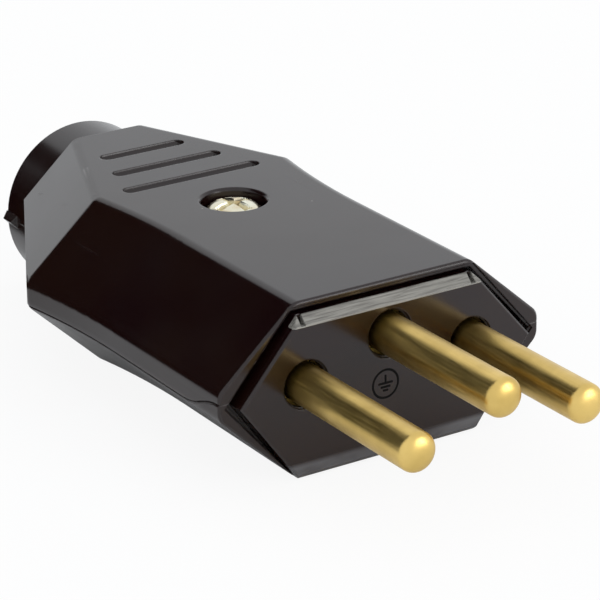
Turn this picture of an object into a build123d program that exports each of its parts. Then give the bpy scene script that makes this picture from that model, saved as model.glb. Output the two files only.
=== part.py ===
from build123d import *
import os

os.makedirs("parts", exist_ok=True)

# Frame: millimetres, +Z up. The origin is on the engagement face, midway between the line and neutral
# pins. The pins point along -Y, the cord leaves along +Y, and the flat top with the grip grooves is +Z.

# Contact pins. The end is turned in facets: how far each corner lies in from the side and back from the tip
pin_d = 4.0
pin_length = 19.0
pin_pitch = 19.0
earth_rise = 3.0
tip_facets = [(0.5, 0.25), (0.0, 0.9)]
root_d = 4.6
root_play = 0.05
pin_recess_d = 5.0
pin_recess_depth = 0.3
flange_t = 1.2
flange_margin = 0.2

# Terminal heads behind the pins
head_width = 6.4
head_length = 10.0
head_chamfer = 0.4
wire_hole_d = 2.8
wire_hole_depth = 8.5
head_mid_z = -1.1

# Housing section: a flattened hexagon, seen from the front
top_z = 8.05
bottom_z = -9.95
top_half = 10.1
side_half = 18.5
band_top_z = 0.6
parting_z = -2.0
wall = 1.8
flat_share = 0.4
corner_share = 1.3
edge_r = 1.6
rear_edge = 0.6

# Housing plan: parallel at the front, then a flare to the shoulder and a straight taper to the rear
rim_y = 1.1
flare_y = 21.0
shoulder_y = 36.5
flare = 1.35
taper = 0.408
body_end_y = 54.7

# Parting line between the shells: its height at the front corners, where it starts to climb, its V groove
parting_front_z = -0.4
parting_climb_y = 8.0
parting_groove = 0.15

# Engagement face: a wall of the base that stands inside the cover's front opening
face_t = 3.4
face_top_z = 6.85
face_inset = 1.8
face_top_inset = 0.1
face_bevel = 0.85
face_foot_r = 1.2
face_edge = 0.2
notch_w = 0.5
notch_depth = 0.9

# Front rim: the gap round the face, which widens to the sides, and a small step in the rim's end
rim_gap = 0.3
rim_side_gap = 0.9
rim_edge = 0.2
step_rise = 0.4
step_side = 0.25
step_depth = 0.35
base_gap_depth = 2.4

# Collar round the cord inlet
collar_r = 9.2
collar_end_y = 61.5
collar_edge = 0.5
collar_overlap = 4.0
inlet_r = 5.0
nub = 1.0
nub_length = 2.4
nub_inset = 0.3

# Grip grooves in the top: place along Y and half length of each
grooves = [(36.5, 8.15), (41.6, 6.5), (46.8, 5.05)]
groove_w = 1.7
groove_depth = 0.6

# Housing screw, its nut and its posts
screw_y = 28.2
screw_recess_d = 6.75
screw_recess_edge = 0.25
screw_seat_z = 4.95
screw_head_d = 5.8
screw_head_h = 2.75
screw_head_edge = 0.8
cross_length = 3.4
cross_w = 0.9
cross_depth = 1.3
screw_d = 3.0
screw_clearance_d = 3.4
screw_length = 14.0
nut_flats = 5.5
nut_t = 2.4
nut_depth = 0.8
post_r = 5.2
post_step = 0.4

# Cord clamp
clamp_y = 42.0
clamp_half = 8.0
clamp_end = 3.0
clamp_length = 2 * (clamp_half + clamp_end)
clamp_width = 6.5
clamp_t = 3.0
clamp_corner_r = 2.0
clamp_base_z = -1.0
clamp_arch_r = 5.0
clamp_arch_rise = 1.5
clamp_post_r = 3.0
saddle_ys = (47.4, 50.6)
saddle_half = 9.0
saddle_grip = 0.6

# Small screws of the terminals and the clamp
small_d = 3.0
small_head_d = 5.0
small_head_h = 1.7
slot_w = 0.9
slot_depth = 0.8
terminal_screw_length = 4.4
clamp_screw_length = 8.0

# Locating pegs between the two shells
peg_x = 13.2
peg_y = 24.0
peg_r = 1.5
peg_rise = 2.0
peg_boss_r = 2.7
peg_play = 0.05

# Ribs, and how far the inner forms run into the walls that carry them
overlap = 0.5
rib_t = 1.2
cradle_front = 1.5
cradle_rear = 2.5
stop_drop = 0.4
hold_down_half = 2.4
hold_down_gap = 0.3
barrier_x = 4.75
barrier_end_y = 20.0
barrier_top_z = 4.0

mid_z = (top_z + bottom_z) / 2
floor_z = bottom_z + wall
ceiling_z = top_z - wall
face_side_half = side_half - face_inset
face_top_half = top_half - face_top_inset
head_y = face_t + flange_t
head_low_z = head_mid_z - head_width / 2
head_high_z = head_mid_z + head_width / 2
head_end_y = head_y + head_length
terminal_screw_y = head_y + head_length / 2
screw_top_z = screw_seat_z + screw_head_h
beyond = 30.0
near = 0.01
pin_places = {
    "line_pin": (-pin_pitch / 2, 0.0),
    "neutral_pin": (pin_pitch / 2, 0.0),
    "earth_pin": (0.0, earth_rise),
}


def rod(radius, start_y, end_y, x, z):
    """Round bar along Y."""
    return Pos(x, (start_y + end_y) / 2, z) * Rot(90, 0, 0) * Cylinder(radius, end_y - start_y)


def post(radius, low_z, high_z, x, y):
    """Round bar along Z."""
    return Pos(x, y, (low_z + high_z) / 2) * Cylinder(radius, high_z - low_z)


def block(x_span, y_span, z_span):
    """Box between two values on each axis."""
    low = [min(span) for span in (x_span, y_span, z_span)]
    high = [max(span) for span in (x_span, y_span, z_span)]
    size = [b - a for a, b in zip(low, high)]
    centre = [(a + b) / 2 for a, b in zip(low, high)]
    return Pos(*centre) * Box(*size)


def prism_y(points, start_y, end_y):
    """Solid with a constant X-Z section between two places along Y."""
    section = make_face(Polyline([(x, start_y, z) for x, z in points], close=True))
    return extrude(section, amount=end_y - start_y, dir=(0, 1, 0))


def outline(z, half, start_y, end_y):
    """Plan outline at one height: straight sides, a tangent arc out to the shoulder, a straight taper."""
    shoulder = half + flare
    rear = shoulder - taper * (end_y - shoulder_y)
    edges = [Line((-half, start_y, z), (half, start_y, z))]
    for side in (1, -1):
        edges.append(Line((side * half, start_y, z), (side * half, flare_y, z)))
        bend = TangentArc((side * half, flare_y, z), (side * shoulder, shoulder_y, z), tangent=(0, 1, 0))
        edges.append(bend)
        edges.append(Line((side * shoulder, shoulder_y, z), (side * rear, end_y, z)))
    edges.append(Line((rear, end_y, z), (-rear, end_y, z)))
    return make_face(edges)


def housing_form(inset, start_y, end_y):
    """The housing's hexagonal form, or its inside when inset is the wall thickness."""
    flat_half = top_half - flat_share * inset
    corner_half = side_half - corner_share * inset
    sections = [
        outline(bottom_z + inset, flat_half, start_y, end_y),
        outline(parting_z, corner_half, start_y, end_y),
        outline(band_top_z, corner_half, start_y, end_y),
        outline(top_z - inset, flat_half, start_y, end_y),
    ]
    return loft(sections, ruled=True)


def edges_where(solid, test):
    """The edges of a solid whose centre passes a test."""
    return [edge for edge in solid.edges() if test(edge.center())]


def rounded_form():
    """The housing's form from the engagement face back, its long edges rounded and its rear bevelled."""
    form = housing_form(0, 0, body_end_y)
    form = fillet(edges_where(form, lambda c: near < c.Y < body_end_y - near), edge_r)
    return chamfer(edges_where(form, lambda c: c.Y > body_end_y - near), rear_edge)


def outer_body(form):
    """Housing behind the front rim, not yet split or hollow."""
    body = form & block((-beyond, beyond), (rim_y, body_end_y), (bottom_z, top_z))
    return chamfer(edges_where(body, lambda c: abs(c.Y - rim_y) < near), rim_edge)


def inlet_collar():
    """Round collar with a small nub on each side, trimmed level with the underside."""
    collar = rod(collar_r, body_end_y - collar_overlap, collar_end_y, 0, parting_z)
    collar = chamfer(edges_where(collar, lambda c: c.Y > collar_end_y - near), collar_edge)
    nub_y = collar_end_y - nub_inset - nub_length / 2
    for side in (-1, 1):
        collar += Pos(side * collar_r, nub_y, parting_z) * Rot(0, 45, 0) * Box(nub, nub_length, nub)
    return collar & block((-beyond, beyond), (0, 2 * beyond + collar_end_y), (bottom_z, beyond))


def parting_region():
    """All space above the parting surface, which climbs at the front corners."""
    front = Vector(0, rim_y, parting_front_z)
    rear = Vector(0, parting_climb_y, parting_z)
    ahead = Vector(0, -beyond, parting_front_z)
    behind = Vector(0, collar_end_y + beyond, parting_z)
    climb = Spline(front, rear, tangents=[(0, 1, 0), (0, 1, 0)])
    roof = Polyline(behind, (0, behind.Y, beyond), (0, ahead.Y, beyond), ahead)
    section = make_face([Line(ahead, front), climb, Line(rear, behind), roof])
    return extrude(section, amount=beyond, dir=(1, 0, 0), both=True)


def face_points(side, top, top_side):
    """Corners of the engagement face, or of an opening round it."""
    return [
        (side, mid_z),
        (top_side, top),
        (-top_side, top),
        (-side, mid_z),
        (-top_half, bottom_z),
        (top_half, bottom_z),
    ]


def rim_opening(extra_side, extra_top, end_y):
    """Space inside the front rim, as far back as end_y, with the gap round the face."""
    side = face_side_half + rim_side_gap + extra_side
    points = face_points(side, face_top_z + rim_gap + extra_top, face_top_half + rim_gap + extra_side)
    return prism_y(points, -1, end_y)


def face_wall(form):
    """Hexagonal wall that carries the pins: a bevelled bar on top, a rounded foot, fine side edges."""
    slab = prism_y(face_points(face_side_half, face_top_z, face_top_half), 0, face_t)
    sides = edges_where(slab, lambda c: c.Y < near and bottom_z + near < c.Z < face_top_z - near)
    slab = chamfer(sides, face_edge)
    profile = block((-beyond, beyond), (0, face_t), (bottom_z, face_top_z))
    profile = chamfer(edges_where(profile, lambda c: c.Y < near and c.Z > face_top_z - near), face_bevel)
    profile = fillet(edges_where(profile, lambda c: c.Y < near and c.Z < bottom_z + near), face_foot_r)
    slab = slab & form & profile
    for side in (-1, 1):
        notch_x = (side * (face_top_half - notch_w), side * face_top_half)
        slab -= block(notch_x, (-1, rim_y), (face_top_z - notch_depth, face_top_z + 1))
    return slab


def pin_holes():
    """Three through holes in the face wall, each with a shallow recess round the pin."""
    holes = []
    for x, z in pin_places.values():
        holes.append(rod(root_d / 2 + root_play, -1, face_t + 1, x, z))
        holes.append(rod(pin_recess_d / 2, -1, pin_recess_depth, x, z))
    return Compound(holes)


def grooved(half):
    """One half of the housing with its outer edge at the parting line bevelled."""
    sides = edges_where(half, lambda c: abs(c.Z - parting_z) < near < abs(c.X))
    return chamfer(sides, parting_groove)


def base_inside():
    """Posts, bosses, barriers, terminal cradles and cord saddles that stand on the base's floor."""
    low = floor_z - overlap
    parts = [post(post_r - post_step, low, parting_z, 0, screw_y)]
    for side in (-1, 1):
        parts.append(post(clamp_post_r, low, clamp_base_z, side * clamp_half, clamp_y))
        parts.append(post(peg_boss_r, low, parting_z, side * peg_x, peg_y))
        span = (side * (barrier_x - rib_t / 2), side * (barrier_x + rib_t / 2))
        parts.append(block(span, (face_t - overlap, barrier_end_y), (low, barrier_top_z)))
    for x, z in pin_places.values():
        span = (x - head_width / 2, x + head_width / 2)
        for y in (head_y + cradle_front, head_end_y - cradle_rear):
            parts.append(block(span, (y, y + rib_t), (low, head_low_z)))
        stop_top = head_mid_z - wire_hole_d / 2 - stop_drop
        parts.append(block(span, (head_end_y, head_end_y + rib_t), (low, stop_top)))
    cord_space = rod(inlet_r - saddle_grip, clamp_y, body_end_y, 0, parting_z)
    for y in saddle_ys:
        parts.append(block((-saddle_half, saddle_half), (y, y + rib_t), (low, parting_z)) - cord_space)
    return Compound(parts)


def cover_inside():
    """Screw post, peg sockets and hold-down ribs that hang from the cover's ceiling."""
    high = ceiling_z + overlap
    parts = [post(post_r, parting_z, high, 0, screw_y)]
    for side in (-1, 1):
        parts.append(post(peg_boss_r, parting_z, ceiling_z, side * peg_x, peg_y))
    for x, z in pin_places.values():
        raised = z > 0
        low = z + pin_d / 2 + flange_margin if raised else head_high_z
        y = face_t if raised else head_y + hold_down_gap
        parts.append(block((x - hold_down_half, x + hold_down_half), (y, y + rib_t), (low, high)))
    return Compound(parts)


def base_shell(body, collar, cavity, above, form):
    """Lower shell with the face wall, terminal cradles, barriers, posts and half of the cord inlet."""
    shell = grooved(body - above) + (collar - above) - cavity
    shell += base_inside() & housing_form(overlap, rim_y, body_end_y)
    shell += [post(peg_r, parting_z - 1, parting_z + peg_rise, side * peg_x, peg_y) for side in (-1, 1)]
    shell -= rim_opening(0, 0, base_gap_depth)
    shell -= rim_opening(step_side, step_rise, rim_y + step_depth)
    shell += face_wall(form)
    shell -= pin_holes()
    shell -= rod(inlet_r, body_end_y - wall - overlap, collar_end_y + 1, 0, parting_z)
    shell -= post(screw_clearance_d / 2, bottom_z - 1, parting_z + 1, 0, screw_y)
    pocket = extrude(RegularPolygon(nut_flats / 2, 6, major_radius=False), 1 + nut_depth + nut_t)
    shell -= Pos(0, screw_y, bottom_z - 1) * pocket
    for side in (-1, 1):
        hole_end_z = clamp_base_z + clamp_t - clamp_screw_length
        shell -= post(small_d / 2, hole_end_z, beyond, side * clamp_half, clamp_y)
    return shell


def grip_groove(y, half_length):
    """Cutter for one grip groove: a round bar within a slot, for a hollow floor and round ends."""
    radius = ((groove_w / 2) ** 2 + groove_depth ** 2) / (2 * groove_depth)
    bar = Pos(0, y, top_z - groove_depth + radius) * Rot(0, 90, 0) * Cylinder(radius, 2 * half_length)
    slot = Pos(0, y, top_z - groove_depth) * extrude(SlotOverall(2 * half_length, groove_w), 2 * groove_depth)
    return bar & slot


def top_cover(body, collar, cavity, above):
    """Upper shell with the grip grooves, the screw recess, hold-down ribs and half of the cord inlet."""
    shell = grooved(body & above) + (collar & above) - cavity
    shell += cover_inside() & housing_form(overlap, rim_y, body_end_y)
    shell -= rim_opening(0, 0, face_t)
    shell -= rim_opening(step_side, step_rise, rim_y + step_depth)
    shell -= rod(inlet_r, body_end_y - wall - overlap, collar_end_y + 1, 0, parting_z)
    shell -= post(screw_clearance_d / 2, parting_z - 1, top_z, 0, screw_y)
    shell -= post(screw_recess_d / 2, screw_seat_z, top_z + 1, 0, screw_y)
    flare_r = screw_recess_d / 2 + screw_recess_edge
    rim_cone = Cone(screw_recess_d / 2, flare_r, screw_recess_edge, align=(Align.CENTER, Align.CENTER, Align.MAX))
    shell -= Pos(0, screw_y, top_z) * rim_cone
    for side in (-1, 1):
        socket_top = parting_z + peg_rise + 4 * peg_play
        shell -= post(peg_r + peg_play, parting_z - 1, socket_top, side * peg_x, peg_y)
    for y, half_length in grooves:
        shell -= grip_groove(y, half_length)
    return shell


def turned_shaft(x, z):
    """Shaft of a pin, turned about its own axis, with a rounded end and a thicker root in the face wall."""
    corners = [(0, -pin_length)]
    corners += [(pin_d / 2 - inset, distance - pin_length) for inset, distance in tip_facets]
    corners += [(pin_d / 2, 0), (root_d / 2, 0), (root_d / 2, face_t), (0, face_t)]
    section = make_face(Polyline(corners, close=True))
    return Pos(x, 0, z) * revolve(section, Axis.Y)


def contact(x, pin_z):
    """Turned pin with a flange behind the face wall and a square terminal head."""
    flange_top = max(pin_z + pin_d / 2 + flange_margin, head_high_z)
    half = head_width / 2
    flange = block((x - half, x + half), (face_t, head_y), (head_low_z, flange_top))
    head = block((x - half, x + half), (head_y, head_end_y), (head_low_z, head_high_z))
    head = chamfer(head.faces().sort_by(Axis.Y)[-1].edges(), head_chamfer)
    solid = turned_shaft(x, pin_z) + flange + head
    solid -= rod(wire_hole_d / 2, head_end_y - wire_hole_depth, head_end_y + 1, x, head_mid_z)
    solid -= post(small_d / 2, head_high_z - terminal_screw_length, beyond, x, terminal_screw_y)
    return solid


def slotted_screw(x, y, seat_z, length):
    """Cheese-head screw that points down, with a straight slot."""
    solid = post(small_d / 2, seat_z - length, seat_z, x, y)
    head = post(small_head_d / 2, seat_z, seat_z + small_head_h, x, y)
    slot_y = (y - slot_w / 2, y + slot_w / 2)
    slot_z = (seat_z + small_head_h - slot_depth, seat_z + small_head_h + 1)
    slot = block((x - small_head_d, x + small_head_d), slot_y, slot_z)
    return solid + (head - slot)


def housing_screw():
    """Pan-head machine screw with a cross recess."""
    solid = post(screw_d / 2, screw_seat_z - screw_length, screw_seat_z, 0, screw_y)
    head = post(screw_head_d / 2, screw_seat_z, screw_top_z, 0, screw_y)
    head = chamfer(head.edges().sort_by(Axis.Z)[-1], screw_head_edge)
    for turn in (0, 90):
        head -= Pos(0, screw_y, screw_top_z) * Rot(0, 0, turn) * Box(cross_length, cross_w, 2 * cross_depth)
    return solid + head


def housing_nut():
    """Hexagon nut in the underside of the base."""
    nut = extrude(RegularPolygon(nut_flats / 2, 6, major_radius=False), nut_t)
    nut -= Cylinder(screw_d / 2, 4 * nut_t)
    return Pos(0, screw_y, bottom_z + nut_depth) * nut


def cord_clamp():
    """Moulded bar that two screws draw down on the cord."""
    y_span = (clamp_y - clamp_width / 2, clamp_y + clamp_width / 2)
    z_span = (clamp_base_z, clamp_base_z + clamp_t)
    bar = block((-clamp_length / 2, clamp_length / 2), y_span, z_span)
    bar = fillet(bar.edges().filter_by(Axis.Z), clamp_corner_r)
    arch_z = clamp_base_z + clamp_arch_rise - clamp_arch_r
    bar -= rod(clamp_arch_r, clamp_y - clamp_width, clamp_y + clamp_width, 0, arch_z)
    for side in (-1, 1):
        bar -= post(small_d / 2, -beyond, beyond, side * clamp_half, clamp_y)
    return bar


form = rounded_form()
body = outer_body(form)
collar = inlet_collar()
cavity = housing_form(wall, face_t, body_end_y - wall)
above = parting_region()

nodes = {
    "base_shell": base_shell(body, collar, cavity, above, form),
    "top_cover": top_cover(body, collar, cavity, above),
    "housing_screw": housing_screw(),
    "housing_nut": housing_nut(),
    "cord_clamp": cord_clamp(),
}
for name, (x, z) in pin_places.items():
    nodes[name] = contact(x, z)
    screw_name = name.replace("pin", "terminal_screw")
    nodes[screw_name] = slotted_screw(x, terminal_screw_y, head_high_z, terminal_screw_length)
for side, hand in ((-1, "left"), (1, "right")):
    screw_name = f"cord_clamp_screw_{hand}"
    nodes[screw_name] = slotted_screw(side * clamp_half, clamp_y, clamp_base_z + clamp_t, clamp_screw_length)

for name, solid in nodes.items():
    solids = solid.solids()
    print(name, len(solids), "solid", round(sum(s.volume for s in solids), 1), "mm3")
    export_step(Compound(solids) if len(solids) > 1 else solids[0], f"parts/{name}.step")
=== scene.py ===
# %% [markdown]
# A rewireable three-pin plug lies on its back shell, seen from the front and left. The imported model
# already holds every piece at its real size, so this lesson is about light, finish and small forms.
# The frame is loaded first, because each later step measures from it.

# %% Load the frame
import math
import bpy
import bmesh
import numpy as np
from mathutils import Matrix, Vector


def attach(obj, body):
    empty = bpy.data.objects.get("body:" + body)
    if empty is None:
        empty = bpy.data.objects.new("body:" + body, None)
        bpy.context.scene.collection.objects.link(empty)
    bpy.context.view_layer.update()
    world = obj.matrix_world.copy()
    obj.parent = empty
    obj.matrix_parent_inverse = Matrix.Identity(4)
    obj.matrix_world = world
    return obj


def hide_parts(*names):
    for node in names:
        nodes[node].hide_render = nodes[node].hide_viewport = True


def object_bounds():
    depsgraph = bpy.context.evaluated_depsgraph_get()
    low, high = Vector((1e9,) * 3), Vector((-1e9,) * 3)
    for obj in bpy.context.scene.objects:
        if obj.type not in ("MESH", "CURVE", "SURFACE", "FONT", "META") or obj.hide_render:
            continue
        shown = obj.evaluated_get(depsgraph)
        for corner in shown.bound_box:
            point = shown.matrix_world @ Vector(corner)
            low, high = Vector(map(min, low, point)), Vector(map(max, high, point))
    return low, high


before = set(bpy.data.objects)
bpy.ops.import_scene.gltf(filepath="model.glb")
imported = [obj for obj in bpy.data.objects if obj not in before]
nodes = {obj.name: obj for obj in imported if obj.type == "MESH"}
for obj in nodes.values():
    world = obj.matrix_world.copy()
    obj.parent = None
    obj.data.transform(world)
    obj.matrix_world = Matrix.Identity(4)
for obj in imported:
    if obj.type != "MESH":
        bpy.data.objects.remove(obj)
cad_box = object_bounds()
MM = 0.001
print("nodes:", sorted(nodes))
print("CAD box:", cad_box)

# %% [markdown]
# The camera is a long lens close to the object, as for a catalogue picture. Its direction is given as
# an azimuth round the object and an elevation above the table. A small slide to the side and up puts the
# object in the frame where the photograph has it, so the lens itself needs no shift.

# %% Camera
AZIMUTH = math.radians(-32.583)
ELEVATION = math.radians(22.029)
ROLL = math.radians(-0.588)
DISTANCE = 286.998 * MM
SLIDE_RIGHT = -8.603 * MM
SLIDE_UP = 6.778 * MM
AIM = np.array([0.0, 0.0, -0.888 * MM])

back = np.array([math.sin(AZIMUTH) * math.cos(ELEVATION),
                 -math.cos(AZIMUTH) * math.cos(ELEVATION),
                 math.sin(ELEVATION)])
level_right = np.cross(-back, [0.0, 0.0, 1.0])
level_right /= np.linalg.norm(level_right)
level_up = np.cross(level_right, -back)
right = math.cos(ROLL) * level_right + math.sin(ROLL) * level_up
up = math.cos(ROLL) * level_up - math.sin(ROLL) * level_right
stand = AIM + back * DISTANCE + right * SLIDE_RIGHT + up * SLIDE_UP

camera_data = bpy.data.cameras.new("camera")
camera_data.lens = 180.0
camera_data.sensor_width = 36.0
camera_data.clip_start = 0.01
camera_data.clip_end = 10.0
camera = bpy.data.objects.new("camera", camera_data)
bpy.context.scene.collection.objects.link(camera)
pose = np.eye(4)
pose[:3, 0] = right
pose[:3, 1] = up
pose[:3, 2] = back
pose[:3, 3] = stand
camera.matrix_world = Matrix(pose.tolist())
bpy.context.scene.camera = camera
print("camera at", np.round(stand / MM, 1), "mm")

# %% [markdown]
# Two helpers serve every material. One turns an sRGB hex value into the linear colour that a shader wants.
# The other adds a node, sets its values, joins its inputs and hands back its outputs, so a material reads
# as a list of what feeds what. Long node names and settings get short names here, which keeps each call on
# one line. A colour mix takes its factor at input 0 and its colours at 6 and 7, and gives output 2.

# %% Helpers for materials
MATH, RANGE, NOISE, MIX = "ShaderNodeMath", "ShaderNodeMapRange", "ShaderNodeTexNoise", "ShaderNodeMix"
TIMES, PLUS, LARGER = {"operation": "MULTIPLY"}, {"operation": "ADD"}, {"operation": "MAXIMUM"}
ABOVE, BELOW = {"operation": "GREATER_THAN"}, {"operation": "LESS_THAN"}
COLOURS = {"data_type": "RGBA"}


def linear(hex_value, alpha=1.0):
    """Linear RGBA from a hex string: each channel is undone from its sRGB curve."""
    channels = [int(hex_value[i:i + 2], 16) / 255 for i in (0, 2, 4)]
    return [c / 12.92 if c <= 0.04045 else ((c + 0.055) / 1.055) ** 2.4 for c in channels] + [alpha]


def add_node(tree, kind, settings=None, inputs=None):
    """Adds a node and returns its outputs. inputs are values or sockets, by name or number."""
    node = tree.nodes.new(kind)
    for name, value in (settings or {}).items():
        setattr(node, name, value)
    for name, value in (inputs or {}).items():
        if isinstance(value, bpy.types.NodeSocket):
            tree.links.new(value, node.inputs[name])
        else:
            node.inputs[name].default_value = value
    return node.outputs


def new_material(name):
    """Empty node material and its tree."""
    material = bpy.data.materials.new(name)
    material.use_nodes = True
    material.node_tree.nodes.clear()
    return material, material.node_tree


WHITE = linear("ffffff")
TENT = linear("f9fcff")
print("white", WHITE, "tent", np.round(TENT, 3))

# %% [markdown]
# The plug lies on a white table. The table is matt paint, so it keeps the object's shadow, and most of
# what the camera sees of it is replaced by plain white, as in a catalogue picture. Light Path tells a
# camera ray from a glossy ray, so the white costs no extra light on the object. The table lies a hair
# below the object, or the two faces would flicker where they touch.

# %% Table
FLOOR_Z = cad_box[0][2] - 0.02 * MM
FLOOR_HALF = 2.5
FLOOR_WHITENED = 0.9


def shown(tree, to_camera, to_gloss):
    """Factor of plain light: one value for camera and transmission rays, one for glossy rays, else 0."""
    path = add_node(tree, "ShaderNodeLightPath")
    direct = add_node(tree, MATH, LARGER, {0: path["Is Camera Ray"], 1: path["Is Transmission Ray"]})[0]
    direct = add_node(tree, MATH, TIMES, {0: direct, 1: to_camera})[0]
    gloss = add_node(tree, MATH, TIMES, {0: path["Is Glossy Ray"], 1: to_gloss})[0]
    return add_node(tree, MATH, LARGER, {0: direct, 1: gloss})[0]


def add_object(name, data):
    """Object for a mesh or a lamp, at the origin."""
    thing = bpy.data.objects.new(name, data)
    bpy.context.scene.collection.objects.link(thing)
    return thing


def sheet(name, corners, faces, material):
    """Flat mesh that stands round the object and isn't part of it."""
    mesh = bpy.data.meshes.new(name)
    mesh.from_pydata([tuple(corner) for corner in corners], [], faces)
    mesh.update()
    mesh.materials.append(material)
    thing = add_object(name, mesh)
    return thing


def level_corners(left, right, front, rear, z):
    """Corners of a level rectangle with its sides along X and Y."""
    return [(left, front, z), (right, front, z), (right, rear, z), (left, rear, z)]


paint, tree = new_material("matt_white_table")
matt = add_node(tree, "ShaderNodeBsdfDiffuse", inputs={"Color": linear("f6f6f6")})[0]
plain = add_node(tree, "ShaderNodeEmission", inputs={"Color": WHITE, "Strength": 1.0})[0]
table_factor = shown(tree, FLOOR_WHITENED, 0.0)
mixed = add_node(tree, "ShaderNodeMixShader", inputs={0: table_factor, 1: matt, 2: plain})[0]
add_node(tree, "ShaderNodeOutputMaterial", inputs={"Surface": mixed})
sheet("white_table", level_corners(-FLOOR_HALF, FLOOR_HALF, -FLOOR_HALF, FLOOR_HALF, FLOOR_Z),
      [(0, 1, 2, 3)], paint)
print("table at z", round(FLOOR_Z / MM, 3), "mm")

# %% [markdown]
# The plug was shot in a white tent, so the light comes from all round and nearly all of it is the same
# white, with a breath of blue. The world stands for the tent. It is a little weaker as light than as
# something seen, because matt and glossy surfaces have to come out right together.

# %% White tent
TENT_LIGHT = 0.92
TENT_SEEN = 1.0

world = bpy.data.worlds.new("white_tent")
bpy.context.scene.world = world
world.use_nodes = True
tent = world.node_tree
tent.nodes.clear()
soft = add_node(tent, "ShaderNodeBackground", inputs={"Color": TENT, "Strength": TENT_LIGHT})[0]
seen_by_camera = add_node(tent, "ShaderNodeLightPath")["Is Camera Ray"]
tint = add_node(tent, MIX, COLOURS, {0: seen_by_camera, 6: TENT, 7: WHITE})[2]
seen = add_node(tent, "ShaderNodeBackground", inputs={"Color": tint, "Strength": TENT_SEEN})[0]
pick = add_node(tent, "ShaderNodeMixShader", inputs={0: shown(tent, 1.0, 1.0), 1: soft, 2: seen})[0]
add_node(tent, "ShaderNodeOutputWorld", inputs={"Surface": pick})
print("tent: light", TENT_LIGHT, "seen", TENT_SEEN)

# %% [markdown]
# A black gloss housing shows almost nothing of its own colour, so each flat of it is as bright as what it
# mirrors. A black card behind on the left makes the upper left flat nearly black, while the top mirrors the
# tent. A black mat lies on the table in front of the card, for the lower side of the collar: it is painted
# shade, a dark sheet that stands for the shadow on the table there. Both are hidden from the camera and from
# soft light, so they work in the gloss alone.

# %% Black card and painted shadow mat
CARD_DISTANCE = 0.8
CARD_CORNERS = [(-62, -1), (-22, -1), (-22, 19), (-5, 19), (-5, 66), (-62, 66)]
SHADOW_MAT_SPAN = (-0.5, -0.014, 0.066, 0.6)
SHADOW_MAT_Z = FLOOR_Z + 0.05 * MM


def towards(azimuth, elevation):
    """Unit vector from the object: azimuth in degrees from +Y towards +X, elevation above the table."""
    a, e = math.radians(azimuth), math.radians(elevation)
    return np.array([math.sin(a) * math.cos(e), math.cos(a) * math.cos(e), math.sin(e)])


felt, tree = new_material("black_felt")
cloth = add_node(tree, "ShaderNodeBsdfDiffuse", inputs={"Color": linear("050505")})[0]
add_node(tree, "ShaderNodeOutputMaterial", inputs={"Surface": cloth})
card = sheet("black_card", [towards(*corner) * CARD_DISTANCE for corner in CARD_CORNERS],
             [(0, 1, 2, 5), (2, 3, 4, 5)], felt)
# The mat is painted shade: a black sheet, seen only in gloss, for the shadow on the table behind and left of
# the collar.
shadow_mat = sheet("black_shadow_mat", level_corners(*SHADOW_MAT_SPAN, SHADOW_MAT_Z), [(0, 1, 2, 3)], felt)
for dark in (card, shadow_mat):
    dark.visible_camera = False
    dark.visible_diffuse = False
    dark.visible_shadow = False
print("card", CARD_DISTANCE, "m away, mat at z", round(SHADOW_MAT_Z / MM, 3), "mm")

# %% [markdown]
# One soft box stands low in front on the right. The domed end of each pin mirrors it as a small bright
# spot, which is what tells the eye that the brass is polished.

# %% Front soft box
BOX_DIRECTION = (0.5, -0.8, 0.27)
BOX_DISTANCE = 0.9
BOX_SIZE = (0.46, 0.5)
BOX_POWER = 3.0

box_data = bpy.data.lights.new("front_softbox", "AREA")
box_data.shape = "RECTANGLE"
box_data.size, box_data.size_y = BOX_SIZE
box_data.energy = BOX_POWER
softbox = add_object("front_softbox", box_data)
aim = np.array(BOX_DIRECTION) / np.linalg.norm(BOX_DIRECTION)
side = np.cross([0.0, 0.0, 1.0], aim)
side /= np.linalg.norm(side)
turn = np.eye(4)
turn[:3, 0] = side
turn[:3, 1] = np.cross(aim, side)
turn[:3, 2] = aim
turn[:3, 3] = aim * BOX_DISTANCE
softbox.matrix_world = Matrix(turn.tolist())
print("soft box at", np.round(turn[:3, 3], 3), "m")

# %% [markdown]
# A CAD node's mesh is loose triangles, so a piece that grows out of it starts from a merged copy. The piece
# is written into a fresh mesh, and its edges are marked sharp where two faces meet at a clear angle, which
# keeps round walls smooth and corners crisp. Each piece says how many open edges it has: a closed one has 0.

# %% Helpers for pieces
MERGE_WITHIN = 0.001 * MM
SHARP_ANGLE = math.radians(28)


def merged(node_name):
    """Bmesh copy of a CAD node with its doubles merged."""
    work = bmesh.new()
    work.from_mesh(nodes[node_name].data)
    bmesh.ops.remove_doubles(work, verts=work.verts, dist=MERGE_WITHIN)
    return work


def arrays(work):
    """Corners and faces of a bmesh, which is freed."""
    work.verts.index_update()
    points = np.array([vert.co[:] for vert in work.verts])
    faces = [[vert.index for vert in face.verts] for face in work.faces]
    work.free()
    return points, faces


def ring_faces(index):
    """Four-sided faces between neighbouring closed rings of a grid of corner numbers, one ring a row."""
    after = np.roll(index, -1, axis=1)
    return np.stack([index[:-1], after[:-1], after[1:], index[1:]], axis=-1).reshape(-1, 4).tolist()


def fan(ring, pole):
    """Triangles from a closed ring of corner numbers to one pole."""
    return np.stack([ring, np.roll(ring, -1), np.full(len(ring), pole)], axis=-1).tolist()


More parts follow.
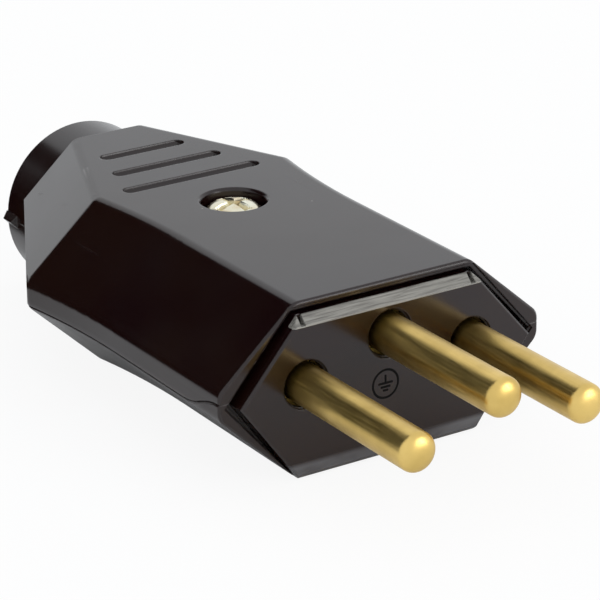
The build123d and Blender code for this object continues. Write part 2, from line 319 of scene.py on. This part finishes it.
def make_piece(name, points, faces, material, replaced=()):
    """Smooth piece that rides on the root body and stands for the CAD nodes named in replaced."""
    mesh = bpy.data.meshes.new(name)
    mesh.from_pydata(np.asarray(points).tolist(), [], faces)
    work = bmesh.new()
    work.from_mesh(mesh)
    bmesh.ops.remove_doubles(work, verts=work.verts, dist=MERGE_WITHIN)
    bmesh.ops.recalc_face_normals(work, faces=work.faces)
    open_edges = sum(len(edge.link_faces) != 2 for edge in work.edges)
    work.to_mesh(mesh)
    work.free()
    mesh.shade_smooth()
    mesh.set_sharp_from_angle(angle=SHARP_ANGLE)
    mesh.materials.append(material)
    piece = add_object(name, mesh)
    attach(piece, "root")
    if replaced:
        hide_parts(*replaced)
    print(name, len(mesh.polygons), "faces,", open_edges, "open edges")
    return piece


print("doubles merged within", MERGE_WITHIN / MM, "mm")

# %% [markdown]
# Seen from the front, the real housing narrows faster along its sides than along its top, so its rear end
# is a wide hexagon with upright sides. The CAD shells are cut there by one upright plane a side. The plane
# starts at the shoulder, where it takes nothing, and takes two millimetres at the rear corner, which the
# wall behind it can spare. The cuts are closed again, so each shell stays one skin. The ridge of the nub
# on each side of the collar is drawn in at its ends, as a worn mould leaves it. A Weighted Normal modifier
# keeps the large flats flat beside the small faces of a cut, which smooth shading alone would bend.

# %% Shells trimmed at the rear
SHOULDER = np.array([19.80, 36.5, 0.0]) * MM
REAR_HALF = 10.35 * MM
BODY_END_Y = 54.7 * MM
CUT_WITHIN = 0.0001 * MM
NUB_RIDGE_X = 9.6 * MM
NUB_Y = 60.0 * MM
NUB_HIP = 0.3
NUB_WORN = 0.04 * MM


def trimmed_shell(node_name, material):
    """CAD shell less what lies outside the upright planes from the shoulder to the rear corners.

    A plane's normal is the line from shoulder to rear corner, turned a quarter round the Z axis. A nub's
    ridge corner moves the share NUB_HIP of its way to the nub's middle, and NUB_WORN inwards.
    """
    work = merged(node_name)
    run = BODY_END_Y - SHOULDER[1]
    for side in (-1, 1):
        faces = [f for f in work.faces if f.calc_center_median().y < BODY_END_Y + MERGE_WITHIN]
        edges = {e for f in faces for e in f.edges}
        verts = {v for f in faces for v in f.verts}
        bmesh.ops.bisect_plane(work, geom=faces + list(edges) + list(verts), dist=CUT_WITHIN,
                               plane_co=SHOULDER * [side, 1, 1],
                               plane_no=(side * run, SHOULDER[0] - REAR_HALF, 0), clear_outer=True)
        rims = [e for e in work.edges if len(e.link_faces) == 1]
        bmesh.ops.holes_fill(work, edges=rims, sides=0)
    bmesh.ops.triangulate(work, faces=[f for f in work.faces if len(f.verts) > 4])
    for vert in work.verts:
        if abs(vert.co.x) > NUB_RIDGE_X and vert.co.y > BODY_END_Y:
            vert.co.y += (NUB_Y - vert.co.y) * NUB_HIP
            vert.co.x -= math.copysign(NUB_WORN, vert.co.x)
    bmesh.ops.recalc_face_normals(work, faces=work.faces)
    print(node_name, "volume", round(work.calc_volume(signed=True) / MM ** 3, 1), "mm3")
    shell = make_piece("moulded_" + node_name, *arrays(work), material, [node_name])
    flats = shell.modifiers.new("flats_stay_flat", "WEIGHTED_NORMAL")
    flats.weight = 100
    flats.keep_sharp = True
    return shell


# %% [markdown]
# The pins are turned from brass rod. The CAD pin has a faceted end, and its shoulder lies level with the
# face, where it would shine as a gold ring. Here the shaft is turned again: a profile of radius along
# the axis, carried round by the corners of the CAD ring, so that the new skin closes on the old one.
# The end is a quarter of a superellipse, fuller than a ball and softer than a flat with a chamfer.

# %% Turned pins
PIN_R = 2.0 * MM
PIN_TIP_Y = -19.0 * MM
DOME_LENGTH = 1.15 * MM
DOME_POWER = 2.35
DOME_RINGS = 16
SHAFT_RINGS = 6
SHAFT_START_Y = -1.0 * MM
SHOULDER_SINKS = 2.8 * MM
PIN_AXES = {"line_pin": (-9.5 * MM, 0.0), "neutral_pin": (9.5 * MM, 0.0), "earth_pin": (0.0, 3.0 * MM)}


def turned_shaft(node_name, axis_x, axis_z, material):
    """CAD pin with a new shaft.

    Radius along the axis: PIN_R up to the dome, then PIN_R * (1 - t ** p) ** (1 / p) for t from 0 to 1,
    where t is the share of the dome's length and p its power. t runs as sin(a) ** (2 / p) for even
    angles a, so the radius is PIN_R * cos(a) ** (2 / p).
    """
    head, head_faces = arrays(merged(node_name))
    kept = head[:, 1] > -MERGE_WITHIN
    order = np.cumsum(kept) - 1
    faces = [[int(order[i]) for i in face] for face in head_faces if kept[face].all()]
    head = head[kept]
    level = np.abs(head[:, 1]) < MERGE_WITHIN
    head[level, 1] = SHOULDER_SINKS
    radius = np.hypot(head[:, 0] - axis_x, head[:, 2] - axis_z)
    ring = head[level & (np.abs(radius - PIN_R) < 10 * MERGE_WITHIN)]
    angle = np.sort(np.arctan2(ring[:, 2] - axis_z, ring[:, 0] - axis_x))
    turn = np.linspace(0, math.pi / 2, DOME_RINGS + 1)[:-1]
    dome_r = PIN_R * np.cos(turn) ** (2 / DOME_POWER)
    dome_y = PIN_TIP_Y + DOME_LENGTH * (1 - np.sin(turn) ** (2 / DOME_POWER))
    straight = np.linspace(SHAFT_START_Y, dome_y[0], SHAFT_RINGS + 1)[:-1]
    along = np.concatenate([[SHOULDER_SINKS], straight, dome_y])
    around = np.concatenate([np.full(SHAFT_RINGS + 1, PIN_R), dome_r])
    shaft = np.empty((len(along), len(angle), 3))
    shaft[..., 0] = axis_x + around[:, None] * np.cos(angle)
    shaft[..., 1] = along[:, None]
    shaft[..., 2] = axis_z + around[:, None] * np.sin(angle)
    index = len(head) + np.arange(len(along) * len(angle)).reshape(shaft.shape[:2])
    faces += ring_faces(index) + fan(index[-1], index[-1, -1] + 1)
    points = np.vstack([head, shaft.reshape(-1, 3), [[axis_x, PIN_TIP_Y, axis_z]]])
    return make_piece("turned_" + node_name, points, faces, material, [node_name])


# %% [markdown]
# The housing screw has a pan head with a cross recess. The head is a height field on a polar grid: the
# dome gives the height at each radius, and the recess is taken off where a point lies inside the cross,
# with walls that slope. Below the head the same rings go on down the shank, so the screw is one skin.

# %% Housing screw
SCREW_Y = 28.2 * MM
HEAD_R = 3.0 * MM
HEAD_TOP_Z = 7.9 * MM
SEAT_Z = 4.95 * MM
HEAD_DOME = 1.4 * MM
HEAD_POWER = 2.2
SHANK_R = 1.5 * MM
SHANK_END_Z = SEAT_Z - 14.0 * MM
SHANK_CHAMFER = 0.4 * MM
CROSS_ARM = 2.2 * MM
CROSS_HALF_WIDTH = 0.55 * MM
CROSS_DEPTH = 1.5 * MM
CROSS_SLOPE = 0.5 * MM
CROSS_TURN = math.radians(12)
SCREW_COLUMNS = 120
POLE_RING_R = 0.05 * MM
EDGE_SHARE = 0.93
EDGE_STARTS = 0.85
DOME_STEPS, EDGE_STEPS = 54, 7


def screw_head_height(x, y):
    """Height of the head at x, y from its axis: superellipse dome less the cross recess.

    The distance into the cross is the smaller of what is left to each arm's end and side, and the depth
    grows with it over CROSS_SLOPE along a smooth step.
    """
    share = np.clip(np.hypot(x, y) / HEAD_R, 0, 1)
    dome = HEAD_TOP_Z - HEAD_DOME * (1 - (1 - share ** HEAD_POWER) ** (1 / HEAD_POWER))
    u = x * math.cos(CROSS_TURN) + y * math.sin(CROSS_TURN)
    v = y * math.cos(CROSS_TURN) - x * math.sin(CROSS_TURN)
    arms = [np.minimum(CROSS_ARM - np.abs(a), CROSS_HALF_WIDTH - np.abs(b)) for a, b in ((u, v), (v, u))]
    inside = np.clip(np.maximum(*arms) / CROSS_SLOPE, 0, 1)
    return dome - CROSS_DEPTH * inside * inside * (3 - 2 * inside)


def pan_head_screw(material):
    """The whole screw from the head's pole to the shank's end, as rings round its axis.

    The rings are even up to EDGE_SHARE of the head's radius, and crowd towards the steep edge beyond it.
    """
    angle = np.linspace(0, 2 * math.pi, SCREW_COLUMNS + 1)[:-1]
    even = np.linspace(POLE_RING_R, EDGE_SHARE * HEAD_R, DOME_STEPS)
    crowded = HEAD_R * (1 - (1 - EDGE_SHARE) * np.linspace(EDGE_STARTS, 0, EDGE_STEPS) ** 2)
    head_r = np.concatenate([even, crowded])[:, None]
    x, y = head_r * np.cos(angle), head_r * np.sin(angle)
    head = np.stack([x, y, screw_head_height(x, y)], axis=-1)
    lower_r = np.array([HEAD_R, SHANK_R, SHANK_R, SHANK_R - SHANK_CHAMFER])[:, None]
    lower_z = np.array([SEAT_Z, SEAT_Z, SHANK_END_Z + SHANK_CHAMFER, SHANK_END_Z])[:, None]
    shank = np.stack([lower_r * np.cos(angle), lower_r * np.sin(angle), lower_z + 0 * angle], axis=-1)
    rings = np.concatenate([head, shank])
    index = np.arange(rings.shape[0] * SCREW_COLUMNS).reshape(-1, SCREW_COLUMNS)
    faces = ring_faces(index) + fan(index[0, ::-1], index.size) + fan(index[-1], index.size + 1)
    poles = [[0, 0, float(screw_head_height(np.zeros(1), np.zeros(1))[0])], [0, 0, SHANK_END_Z]]
    points = np.vstack([rings.reshape(-1, 3), poles]) + [0, SCREW_Y, 0]
    return make_piece("pan_head_screw", points, faces, material, ["housing_screw"])


# %% [markdown]
# Beside the earth pin the face carries the usual sign for protective earth: a circle with a stem and three
# bars. It is printed in thick matt black ink that stands a little proud, so each line is a half-round bead:
# a small circle carried along the line, with its middle a little behind the face. The light catches it as
# it does thick ink, which a flat picture of the sign couldn't do.

# %% Earth sign
SIGN_AT = np.array([-0.5, -2.1]) * MM
SIGN_R = 1.45 * MM
SIGN_LINES = [((0, 0.05), (0, 0.62)), ((-0.55, 0.05), (0.55, 0.05)),
              ((-0.36, -0.22), (0.36, -0.22)), ((-0.18, -0.47), (0.18, -0.47))]
BEAD_R = 0.14 * MM
BEAD_SINKS = 0.07 * MM
BEAD_COLUMNS = 12
CIRCLE_STEPS, LINE_STEPS = 64, 5


def bead(path, closed):
    """Corners and faces of a round tube along a path in the face, capped unless it is closed.

    The tube's side direction at a point is the path's tangent there, turned a quarter within the face.
    """
    step = np.roll(path, -1, axis=0) - np.roll(path, 1, axis=0) if closed else np.gradient(path, axis=0)
    tangent = step / np.linalg.norm(step, axis=1, keepdims=True)
    side = np.stack([-tangent[:, 1], tangent[:, 0]], axis=1)
    angle = np.linspace(0, 2 * math.pi, BEAD_COLUMNS + 1)[:-1]
    ring = np.empty((len(path), BEAD_COLUMNS, 3))
    ring[..., 0] = path[:, :1] + side[:, :1] * BEAD_R * np.cos(angle)
    ring[..., 2] = path[:, 1:] + side[:, 1:] * BEAD_R * np.cos(angle)
    ring[..., 1] = BEAD_SINKS - BEAD_R * np.sin(angle)
    index = np.arange(len(path) * BEAD_COLUMNS).reshape(-1, BEAD_COLUMNS)
    walls = ring_faces(np.vstack([index, index[:1]])) if closed else ring_faces(index)
    caps = [] if closed else index[[0, -1]].tolist()
    return ring.reshape(-1, 3).tolist(), walls + caps


def earth_sign(material):
    """Circle, stem and three bars, each a bead of its own in one mesh."""
    turn = np.linspace(0, 2 * math.pi, CIRCLE_STEPS + 1)[:-1]
    paths = [(np.stack([np.cos(turn), np.sin(turn)], axis=1), True)]
    paths += [(np.linspace(start, end, LINE_STEPS), False) for start, end in SIGN_LINES]
    points, faces = [], []
    for path, closed in paths:
        corners, walls = bead(SIGN_R * path + SIGN_AT, closed)
        faces += [[i + len(points) for i in face] for face in walls]
        points += corners
    return make_piece("earth_sign", points, faces, material)


# %% [markdown]
# The housing is glass-smooth moulded polyamide. Corners of a moulding are never sharp, so a Bevel node
# rounds the shading over a few tenths of a millimetre, and where its normal parts from the flat one there is
# a corner that handling has rubbed. The strip above the pins is painted a streaked light grey, a painted
# highlight where its chamfer catches light from above, and it is also made matt and streaked in its bumps.
# A soft band low on the face is painted lighter too, a painted reflection where its rounded edge mirrors the
# table. Each is a mask from 0 to 1.

# %% Housing plastic: where it is worn and where highlights are painted
BEVEL_R = 0.22 * MM
RUBBED_PATCH = 1.2 * MM
# The two bands here are painted highlights: one on the strip above the pins, one low on the face.
BAR_HIGHLIGHT = {"low": 5.85 * MM, "high": 6.95 * MM, "front": 1.0 * MM}
STREAK = 0.22 * MM
ALONG_THE_BAR = (0.06, 1, 1)
FOOT_HIGHLIGHT = {"low": -9.6 * MM, "high": -7.9 * MM, "front": 0.9 * MM}
FOOT_FADES_BELOW = 0.4 * MM
FOOT_FADES_ABOVE = 0.5 * MM
FOOT_HIGHLIGHT_PATCH = 3.0 * MM
ALONG_THE_FOOT = (0.3, 1, 1)


def rubbed_corners(tree, place, rounded, amount):
    """Mask of the corners: the cosine between bevelled and flat normal falls there, broken into patches."""
    flat = add_node(tree, "ShaderNodeNewGeometry")["Normal"]
    dot = {"operation": "DOT_PRODUCT"}
    meet = add_node(tree, "ShaderNodeVectorMath", dot, {0: rounded, 1: flat})["Value"]
    corner = add_node(tree, RANGE, inputs={"Value": meet, "From Min": 0.985, "From Max": 0.86,
                                           "To Max": amount})[0]
    patch = add_node(tree, NOISE, inputs={"Vector": place, "Scale": 1 / RUBBED_PATCH, "Detail": 3})["Fac"]
    patch = add_node(tree, RANGE, inputs={"Value": patch, "From Min": 0.42, "From Max": 0.66})[0]
    return add_node(tree, MATH, TIMES, {0: corner, 1: patch})[0]


def worn_bar(tree, place, position):
    """Mask of the painted highlight on the strip above the pins, with streaks along it."""
    mask = add_node(tree, MATH, ABOVE, {0: position["Z"], 1: BAR_HIGHLIGHT["low"]})[0]
    lower = add_node(tree, MATH, BELOW, {0: position["Z"], 1: BAR_HIGHLIGHT["high"]})[0]
    front = add_node(tree, MATH, BELOW, {0: position["Y"], 1: BAR_HIGHLIGHT["front"]})[0]
    drawn = add_node(tree, "ShaderNodeMapping", inputs={"Vector": place, "Scale": ALONG_THE_BAR})[0]
    streak = add_node(tree, NOISE, inputs={"Vector": drawn, "Scale": 1 / STREAK, "Detail": 4})["Fac"]
    streak = add_node(tree, RANGE, inputs={"Value": streak, "From Min": 0.3, "From Max": 0.72,
                                           "To Min": 0.35})[0]
    for part in (lower, front, streak):
        mask = add_node(tree, MATH, TIMES, {0: mask, 1: part})[0]
    return mask


def painted_foot_highlight(tree, place, position):
    """Mask of a soft band of painted reflection along the lower edge of the face."""
    low, high = FOOT_HIGHLIGHT["low"], FOOT_HIGHLIGHT["high"]
    mask = add_node(tree, RANGE, inputs={"Value": position["Z"], "From Min": high,
                                         "From Max": high - FOOT_FADES_ABOVE})[0]
    lower = add_node(tree, RANGE, inputs={"Value": position["Z"], "From Min": low,
                                          "From Max": low + FOOT_FADES_BELOW})[0]
    front = add_node(tree, MATH, BELOW, {0: position["Y"], 1: FOOT_HIGHLIGHT["front"]})[0]
    drawn = add_node(tree, "ShaderNodeMapping", inputs={"Vector": place, "Scale": ALONG_THE_FOOT})[0]
    highlight_patch = add_node(tree, NOISE, inputs={"Vector": drawn, "Scale": 1 / FOOT_HIGHLIGHT_PATCH, "Detail": 3})["Fac"]
    highlight_patch = add_node(tree, RANGE, inputs={"Value": highlight_patch, "From Min": 0.3, "From Max": 0.6,
                                          "To Min": 0.15, "To Max": 0.55})[0]
    for part in (lower, front, highlight_patch):
        mask = add_node(tree, MATH, TIMES, {0: mask, 1: part})[0]
    return mask


print("bar from z", BAR_HIGHLIGHT["low"] / MM, "to", BAR_HIGHLIGHT["high"] / MM, "mm")

# %% [markdown]
# The plastic is pigmented nearly black with a breath of brown, in two shades that drift over a centimetre
# or so. A few specks of dust sit on it: a Voronoi texture gives each cell one dot, and only a share of the
# cells keeps its dot. The worn places and the painted highlights are laid over it, each in its own grey.

# %% Housing plastic: colour
PIGMENT_DRIFT = 14.0 * MM
DUST_SPACING = 3.4 * MM
DUST_FREE = 0.72
# The last two layers are painted highlights.
LAYER_COLOURS = {"dust": "9a948c", "corner": "4a4745", "bar": "94928b", "foot_highlight": "75767a"}
LAYER_SHARES = {"dust": 0.55, "corner": 0.5, "bar": 1.0, "foot_highlight": 1.0}


def dust_specks(tree, place):
    """Mask of the dots at the middle of some Voronoi cells."""
    cells = add_node(tree, "ShaderNodeTexVoronoi", inputs={"Vector": place, "Scale": 1 / DUST_SPACING})
    chance = add_node(tree, "ShaderNodeSeparateColor", inputs={0: cells["Color"]})[0]
    chosen = add_node(tree, MATH, ABOVE, {0: chance, 1: DUST_FREE})[0]
    dot = add_node(tree, RANGE, inputs={"Value": cells["Distance"], "From Min": 0.035, "From Max": 0.02})[0]
    return add_node(tree, MATH, TIMES, {0: dot, 1: chosen})[0]


def housing_colour(tree, place, masks):
    """Pigment with the layers laid over it in the order of masks."""
    drift = add_node(tree, NOISE, inputs={"Vector": place, "Scale": 1 / PIGMENT_DRIFT, "Detail": 2})["Fac"]
    drift = add_node(tree, RANGE, inputs={"Value": drift, "From Min": 0.35, "From Max": 0.65})[0]
    colour = add_node(tree, MIX, COLOURS, {0: drift, 6: linear("160607"), 7: linear("1b0c08")})[2]
    for name, mask in masks.items():
        share = add_node(tree, MATH, TIMES, {0: mask, 1: LAYER_SHARES[name]})[0]
        colour = add_node(tree, MIX, COLOURS, {0: share, 6: colour, 7: linear(LAYER_COLOURS[name])})[2]
    return colour


print("dust cells of", DUST_SPACING / MM, "mm, layers:", list(LAYER_COLOURS))

# %% [markdown]
# Gloss is the housing's whole look: the eye reads the mirrored tent, the slow waves that the mould leaves
# and a few long scratches. The waves, a fine grain and the scratches are three Bump nodes in a row, on top
# of the bevelled normal. Polyamide bends light with an index near 1.5. The cord clamp is the same plastic
# from a mould with a satin face.

# %% Housing plastic: surface
WAVE, WAVE_DEPTH = 5.0 * MM, 0.02 * MM
GRAIN, GRAIN_DEPTH = 0.35 * MM, 0.004 * MM
SCRATCH, SCRATCH_DEPTH = 0.5 * MM, 0.01 * MM
ALONG_THE_BODY = (1, 0.02, 0.35)
GLOSS_PATCH = 9.0 * MM
SMOOTHER, ROUGHER = 0.02, 0.05
MARKS_ROUGHEN = 0.14
BAR_ROUGHNESS = 0.45
BUMP = "ShaderNodeBump"


def moulded_polyamide(name, gloss_roughness, rubbed):
    """Nearly black moulded polyamide, with its wear, dust, painted highlights, waves, grain and scratches."""
    material, tree = new_material(name)
    place = add_node(tree, "ShaderNodeTexCoord")["Object"]
    position = add_node(tree, "ShaderNodeSeparateXYZ", inputs={0: place})
    rounded = add_node(tree, "ShaderNodeBevel", {"samples": 6}, {"Radius": BEVEL_R})[0]
    masks = {"dust": dust_specks(tree, place), "corner": rubbed_corners(tree, place, rounded, rubbed),
             "bar": worn_bar(tree, place, position), "foot_highlight": painted_foot_highlight(tree, place, position)}

    drawn = add_node(tree, "ShaderNodeMapping", inputs={"Vector": place, "Scale": ALONG_THE_BODY})[0]
    scratch = add_node(tree, NOISE, inputs={"Vector": drawn, "Scale": 1 / SCRATCH, "Detail": 1})["Fac"]
    scratch = add_node(tree, RANGE, inputs={"Value": scratch, "From Min": 0.74, "From Max": 0.78,
                                            "To Max": 0.6})[0]
    marked = add_node(tree, MATH, LARGER, {0: scratch, 1: masks["corner"]})[0]
    marked = add_node(tree, MATH, TIMES, {0: marked, 1: MARKS_ROUGHEN})[0]
    matt_bar = add_node(tree, MATH, TIMES, {0: masks["bar"], 1: BAR_ROUGHNESS})[0]
    rough = add_node(tree, NOISE, inputs={"Vector": place, "Scale": 1 / GLOSS_PATCH, "Detail": 3})["Fac"]
    rough = add_node(tree, RANGE, inputs={"Value": rough, "From Min": 0.3, "From Max": 0.7,
                                          "To Min": gloss_roughness - SMOOTHER,
                                          "To Max": gloss_roughness + ROUGHER})[0]
    rough = add_node(tree, MATH, PLUS, {0: rough, 1: marked})[0]
    rough = add_node(tree, MATH, LARGER, {0: rough, 1: matt_bar})[0]

    wave = add_node(tree, NOISE, inputs={"Vector": place, "Scale": 1 / WAVE, "Detail": 2})["Fac"]
    grain = add_node(tree, NOISE, inputs={"Vector": place, "Scale": 1 / GRAIN, "Detail": 2})["Fac"]
    nick = add_node(tree, MATH, PLUS, {0: scratch, 1: masks["bar"]})[0]
    normal = rounded
    for height, depth, strength in ((wave, WAVE_DEPTH, 0.25), (grain, GRAIN_DEPTH, 0.12),
                                    (nick, SCRATCH_DEPTH, 0.5)):
        normal = add_node(tree, BUMP, inputs={"Strength": strength, "Distance": depth,
                                              "Height": height, "Normal": normal})[0]
    shader = add_node(tree, "ShaderNodeBsdfPrincipled",
                      inputs={"Base Color": housing_colour(tree, place, masks), "Roughness": rough,
                              "IOR": 1.5, "Normal": normal})[0]
    add_node(tree, "ShaderNodeOutputMaterial", inputs={"Surface": shader})
    print(name, len(tree.nodes), "nodes")
    return material


housing = moulded_polyamide("gloss_moulded_polyamide", 0.17, 1.0)
clamp_plastic = moulded_polyamide("satin_moulded_polyamide", 0.42, 0.4)

# %% [markdown]
# The pins are drawn brass rod, polished along their length and handled since. Drawing leaves fine
# lengthwise lines that spread each reflection into a soft band. Near the face the brass is painted a duller
# olive, which is painted shade where the root of each pin mirrors the black face. The small screws are steel
# with yellow zinc, whose thin chromate film shifts between straw and pink in broad patches.

# %% Brass and plated steel
FILM_PATCH = 4.0 * MM
DRAWN_LINE = 0.16 * MM
LINE_DEPTH = 0.01 * MM
ALONG_THE_PIN = (1, 0.03, 1)
# The painted shade near the face: where it starts, where it is full, and the size of its patches.
SHADE_FROM, SHADE_FULL = -4.5 * MM, -0.5 * MM
SHADE_PATCH = 1.5 * MM
CHROMATE_PATCH = 1.6 * MM


def painted_shade_by_the_face(tree, place):
    """Mask of painted shade that is full at the engagement face and gone four millimetres along the pin, in
    patches.
    """
    along = add_node(tree, "ShaderNodeSeparateXYZ", inputs={0: place})["Y"]
    near = add_node(tree, RANGE, inputs={"Value": along, "From Min": SHADE_FROM, "From Max": SHADE_FULL,
                                         "To Max": 0.8})[0]
    patch = add_node(tree, NOISE, inputs={"Vector": place, "Scale": 1 / SHADE_PATCH, "Detail": 2})["Fac"]
    patch = add_node(tree, RANGE, inputs={"Value": patch, "From Min": 0.2, "From Max": 0.6, "To Min": 0.6})[0]
    return add_node(tree, MATH, TIMES, {0: near, 1: patch})[0]


def chromate_patches(tree, place):
    """Mask of broad soft patches."""
    patch = add_node(tree, NOISE, inputs={"Vector": place, "Scale": 1 / CHROMATE_PATCH, "Detail": 1})["Fac"]
    return add_node(tree, RANGE, inputs={"Value": patch, "From Min": 0.4, "From Max": 0.62, "To Max": 0.7})[0]


def drawn_metal(name, bright, film_and_shade_colour, roughness, film_and_shade_mask, stretch, lines):
    """Metal with fine drawn lines, a duller tone in patches and under its mask, which is chromate for zinc
    and painted shade for brass, and a roughness that varies with the lines.
    """
    material, tree = new_material(name)
    place = add_node(tree, "ShaderNodeTexCoord")["Object"]
    film_and_shade = add_node(tree, NOISE, inputs={"Vector": place, "Scale": 1 / FILM_PATCH, "Detail": 3})["Fac"]
    film_and_shade = add_node(tree, RANGE, inputs={"Value": film_and_shade, "From Min": 0.35, "From Max": 0.7})[0]
    film_and_shade = add_node(tree, MATH, TIMES, {0: film_and_shade, 1: 0.35})[0]
    film_and_shade = add_node(tree, MATH, LARGER, {0: film_and_shade, 1: film_and_shade_mask(tree, place)})[0]
    colour = add_node(tree, MIX, COLOURS, {0: film_and_shade, 6: linear(bright), 7: linear(film_and_shade_colour)})[2]
    drawn = add_node(tree, "ShaderNodeMapping", inputs={"Vector": place, "Scale": stretch})[0]
    fine = add_node(tree, NOISE, inputs={"Vector": drawn, "Scale": 1 / DRAWN_LINE, "Detail": 3})["Fac"]
    rough = add_node(tree, RANGE, inputs={"Value": fine, "From Min": 0.3, "From Max": 0.7,
                                          "To Min": roughness - 0.06, "To Max": roughness + 0.08})[0]
    normal = add_node(tree, BUMP, inputs={"Strength": lines, "Distance": LINE_DEPTH, "Height": fine})[0]
    shader = add_node(tree, "ShaderNodeBsdfPrincipled",
                      inputs={"Base Color": colour, "Metallic": 1.0, "Roughness": rough, "Normal": normal})[0]
    add_node(tree, "ShaderNodeOutputMaterial", inputs={"Surface": shader})
    print(name, len(tree.nodes), "nodes")
    return material


# The dull brass colour is painted shade, laid near the face.
brass = drawn_metal("drawn_brass", "e6c678", "8a6c1c", 0.34, painted_shade_by_the_face, ALONG_THE_PIN, 0.08)
zinc = drawn_metal("yellow_zinc_plated_steel", "ecead6", "dcc8a4", 0.2, chromate_patches, (1, 1, 1), 0.05)

# %% [markdown]
# The sign's ink is matt and black, so it is what the gloss face is not: it mirrors nothing, and the eye
# reads it by its missing shine. Its roughness is high and its specular level low, as in thick ink that
# dries full of pigment, and the pigment is a little uneven.

# %% Sign ink
INK_PATCH = 0.3 * MM

sign_ink, tree = new_material("matt_black_pad_print")
ink_place = add_node(tree, "ShaderNodeTexCoord")["Object"]
uneven = add_node(tree, NOISE, inputs={"Vector": ink_place, "Scale": 1 / INK_PATCH, "Detail": 2})["Fac"]
pigment = add_node(tree, MIX, COLOURS, {0: uneven, 6: linear("040404"), 7: linear("0c0b0b")})[2]
ink = add_node(tree, "ShaderNodeBsdfPrincipled",
               inputs={"Base Color": pigment, "Roughness": 0.85, "Specular IOR Level": 0.15})[0]
add_node(tree, "ShaderNodeOutputMaterial", inputs={"Surface": ink})
print(sign_ink.name, len(tree.nodes), "nodes")

# %% [markdown]
# Now each CAD node gets its real material in its slot, and the shells, the pins and the housing screw give
# way to the pieces made above, which keep their form and their slots. The hidden nodes are dressed too,
# because the plug can be opened.

# %% Dressing the nodes
dress = {"base_shell": housing, "top_cover": housing, "cord_clamp": clamp_plastic}
for name, thing in nodes.items():
    thing.data.materials.clear()
    thing.data.materials.append(dress.get(name, zinc))
for name in ("base_shell", "top_cover"):
    trimmed_shell(name, housing)
for name, (axis_x, axis_z) in PIN_AXES.items():
    turned_shaft(name, axis_x, axis_z, brass)
pan_head_screw(zinc)
earth_sign(sign_ink)
print(len(nodes), "nodes dressed")

# %% [markdown]
# Last, the view transform is set to Standard, so a colour renders about as it is written.

# %% Finish
bpy.context.scene.view_settings.view_transform = "Standard"
